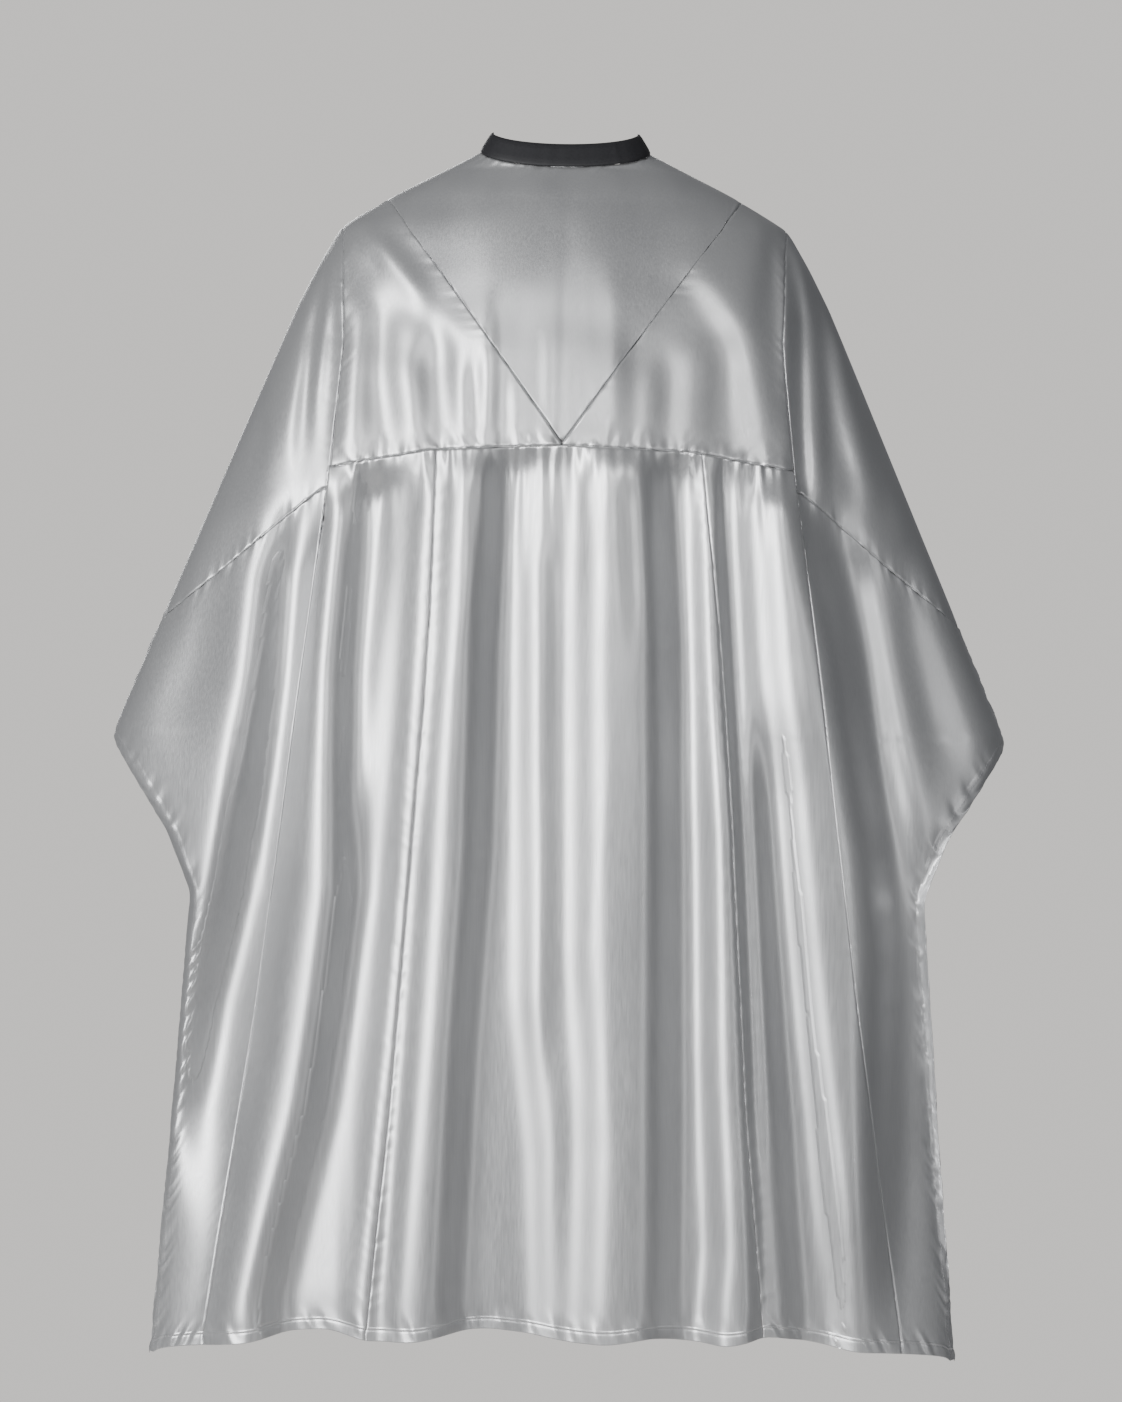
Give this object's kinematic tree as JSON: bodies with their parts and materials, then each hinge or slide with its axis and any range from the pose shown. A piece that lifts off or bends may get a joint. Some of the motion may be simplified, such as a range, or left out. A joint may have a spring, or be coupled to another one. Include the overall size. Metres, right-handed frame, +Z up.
{
  "type": "barber cape",
  "caption": "Satin barber cape with a V yoke, gathered front panels, wing sleeves and a black neckband that snaps shut behind the neck.",
  "frame": {"origin": "centre of the neck opening at the foot of the neckband", "axes": "+Z up, -Y to the front of the wearer, +X to the right as seen from the front"},
  "size_m": [0.888, 0.2962, 1.203],
  "materials": {
    "satin": "satin",
    "band_cloth": "matte",
    "stiffener": "matte",
    "snap_metal": "polished"
  },
  "bodies": {
    "cape": {"front_yoke": "satin", "lower_front_centre": "satin", "lower_front_side_left": "satin", "lower_front_side_right": "satin", "upper_front_left": "satin", "upper_front_right": "satin", "upper_sleeve_left": "satin", "upper_sleeve_right": "satin", "side_panel_left": "satin", "side_panel_right": "satin", "back_yoke_left": "satin", "back_yoke_right": "satin", "back_body_left": "satin", "back_body_right": "satin", "back_sleeve_left": "satin", "back_sleeve_right": "satin", "neckband_outer": "band_cloth", "neckband_lining": "band_cloth", "neckband_stiffener": "stiffener", "snap_stud_1": "snap_metal", "snap_stud_2": "snap_metal", "snap_stud_3": "snap_metal", "snap_stud_4": "snap_metal", "snap_post_1": "snap_metal", "snap_post_2": "snap_metal", "snap_post_3": "snap_metal", "snap_post_4": "snap_metal"},
    "closure": {"closure_tab": "band_cloth", "snap_cap_1": "snap_metal", "snap_cap_2": "snap_metal", "snap_socket_1": "snap_metal", "snap_socket_2": "snap_metal"}
  },
  "joints": [
    {"name": "closure_tab_hinge", "type": "hinge", "parent": "cape", "child": "closure", "pos_m": [-0.046, 0.0631, 0.0075], "axis": [0, 0, 1], "range_deg": [0, 110]}
  ]
}
